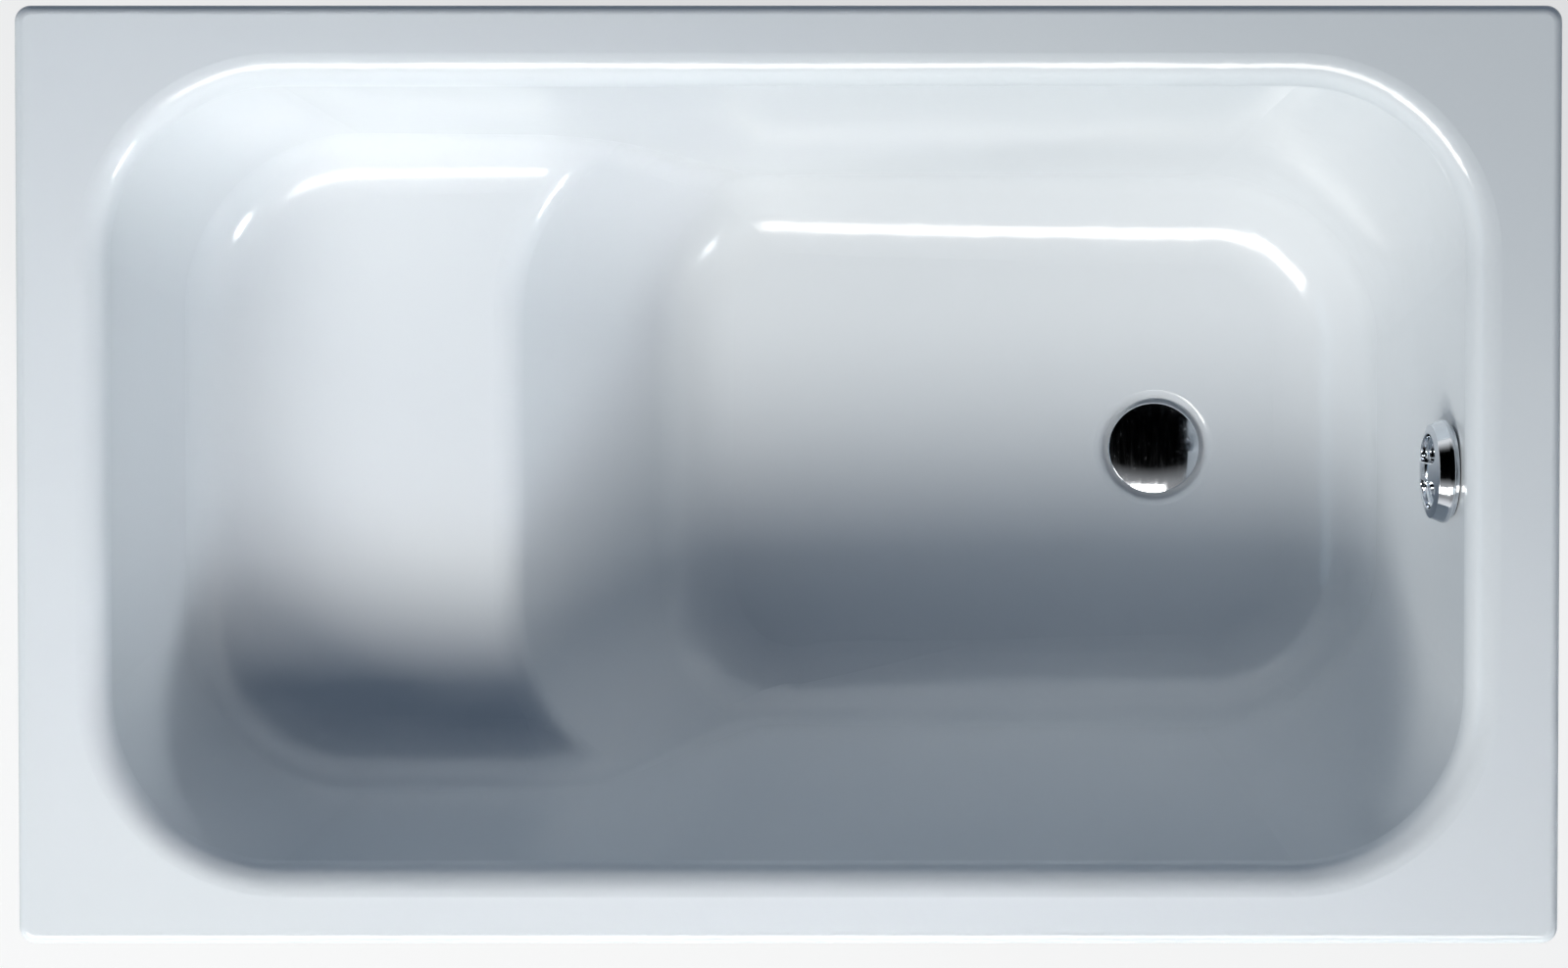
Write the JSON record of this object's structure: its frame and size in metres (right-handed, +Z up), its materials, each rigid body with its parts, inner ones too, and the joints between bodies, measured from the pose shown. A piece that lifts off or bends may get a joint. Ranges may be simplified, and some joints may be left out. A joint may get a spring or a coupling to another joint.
{
  "type": "sit-in bathtub",
  "caption": "Enamelled steel sit-in bathtub with a raised seat, flat rim, levelling feet, pop-up waste with trap, and an overflow knob that works the plug by cable.",
  "frame": {"origin": "on the floor, under the middle of the rim's outline", "axes": "+X along the tub from the seat to the drain end, +Y across it, +Z up"},
  "size_m": [1.15, 0.7, 0.6],
  "materials": {
    "enamel": "gloss enamel",
    "galvanised": "galvanised",
    "zinc": "zinc plated",
    "chrome": "polished",
    "rubber": "matt",
    "bitumen": "matt felt",
    "pipe_plastic": "satin",
    "nut_plastic": "satin",
    "foot_plastic": "matt",
    "cable_sleeve": "satin",
    "brass": "bright",
    "lever_plastic": "satin"
  },
  "bodies": {
    "tub": {"tub_shell": "enamel", "sound_pads": "bitumen", "earthing_tab": "zinc", "drain_end_rail": "galvanised", "seat_end_rail": "galvanised", "rail_pads": "rubber", "rail_brackets": "galvanised", "rail_bolts": "zinc", "rail_nuts": "zinc", "drain_end_posts": "galvanised", "seat_end_posts": "galvanised", "leg_inserts": "foot_plastic", "jam_nuts": "zinc", "flange_gasket": "rubber", "waste_flange": "chrome", "body_gasket": "rubber", "waste_body": "pipe_plastic", "lever_cover": "nut_plastic", "trap_nut": "nut_plastic", "trap_washer": "rubber", "trap_bend": "pipe_plastic", "outlet_nut": "nut_plastic", "outlet_seal": "rubber", "outlet_pipe": "pipe_plastic", "overflow_gasket": "rubber", "overflow_body": "pipe_plastic", "face_seal": "rubber", "face_plate": "chrome", "face_screws": "zinc", "overflow_pipe": "pipe_plastic", "overflow_nuts": "nut_plastic", "overflow_seals": "rubber", "cable_ferrules": "zinc", "control_cable": "cable_sleeve"},
    "knob": {"rotary_knob": "chrome", "knob_spindle": "brass", "cable_drum": "lever_plastic"},
    "plug": {"plug_cover": "chrome", "plug_stem": "brass", "plug_seal": "rubber", "stem_nut": "brass"},
    "lever": {"lift_lever": "lever_plastic"},
    "foot_drain_left": {"foot_pad_drain_left": "foot_plastic"},
    "spindle_drain_left": {"foot_spindle_drain_left": "zinc"},
    "foot_drain_right": {"foot_pad_drain_right": "foot_plastic"},
    "spindle_drain_right": {"foot_spindle_drain_right": "zinc"},
    "foot_seat_left": {"foot_pad_seat_left": "foot_plastic"},
    "spindle_seat_left": {"foot_spindle_seat_left": "zinc"},
    "foot_seat_right": {"foot_pad_seat_right": "foot_plastic"},
    "spindle_seat_right": {"foot_spindle_seat_right": "zinc"}
  },
  "joints": [
    {"name": "knob_turn", "type": "hinge", "parent": "tub", "child": "knob", "pos_m": [0.49894, 0, 0.53266], "axis": [-0.9903, 0, 0.1392], "range_deg": [0, 90]},
    {"name": "plug_lift", "type": "slide", "parent": "tub", "child": "plug", "axis": [0, 0, 1], "range_m": [0, 0.01]},
    {"name": "lever_swing", "type": "hinge", "parent": "tub", "child": "lever", "pos_m": [0.2715, 0, 0.1571], "axis": [0, -1, 0], "range_deg": [0, 26.5]},
    {"name": "foot_height_drain_left", "type": "slide", "parent": "tub", "child": "foot_drain_left", "axis": [0, 0, 1], "range_m": [-0.024, 0.006]},
    {"name": "foot_turn_drain_left", "type": "hinge", "parent": "foot_drain_left", "child": "spindle_drain_left", "pos_m": [0.185, -0.205, 0.014], "axis": [0, 0, 1], "range_deg": [-5761, 1441]},
    {"name": "foot_height_drain_right", "type": "slide", "parent": "tub", "child": "foot_drain_right", "axis": [0, 0, 1], "range_m": [-0.024, 0.006]},
    {"name": "foot_turn_drain_right", "type": "hinge", "parent": "foot_drain_right", "child": "spindle_drain_right", "pos_m": [0.185, 0.205, 0.014], "axis": [0, 0, 1], "range_deg": [-5761, 1441]},
    {"name": "foot_height_seat_left", "type": "slide", "parent": "tub", "child": "foot_seat_left", "axis": [0, 0, 1], "range_m": [-0.024, 0.006]},
    {"name": "foot_turn_seat_left", "type": "hinge", "parent": "foot_seat_left", "child": "spindle_seat_left", "pos_m": [-0.345, -0.205, 0.014], "axis": [0, 0, 1], "range_deg": [-5761, 1441]},
    {"name": "foot_height_seat_right", "type": "slide", "parent": "tub", "child": "foot_seat_right", "axis": [0, 0, 1], "range_m": [-0.024, 0.006]},
    {"name": "foot_turn_seat_right", "type": "hinge", "parent": "foot_seat_right", "child": "spindle_seat_right", "pos_m": [-0.345, 0.205, 0.014], "axis": [0, 0, 1], "range_deg": [-5761, 1441]}
  ],
  "couplings": [
    {"joint": "plug_lift", "follows": "knob_turn", "m_per_rad": 0.0063662},
    {"joint": "lever_swing", "follows": "knob_turn", "ratio": 0.29444},
    {"joint": "foot_turn_drain_left", "follows": "foot_height_drain_left", "rad_per_m": 4188.8},
    {"joint": "foot_turn_drain_right", "follows": "foot_height_drain_right", "rad_per_m": 4188.8},
    {"joint": "foot_turn_seat_left", "follows": "foot_height_seat_left", "rad_per_m": 4188.8},
    {"joint": "foot_turn_seat_right", "follows": "foot_height_seat_right", "rad_per_m": 4188.8}
  ]
}
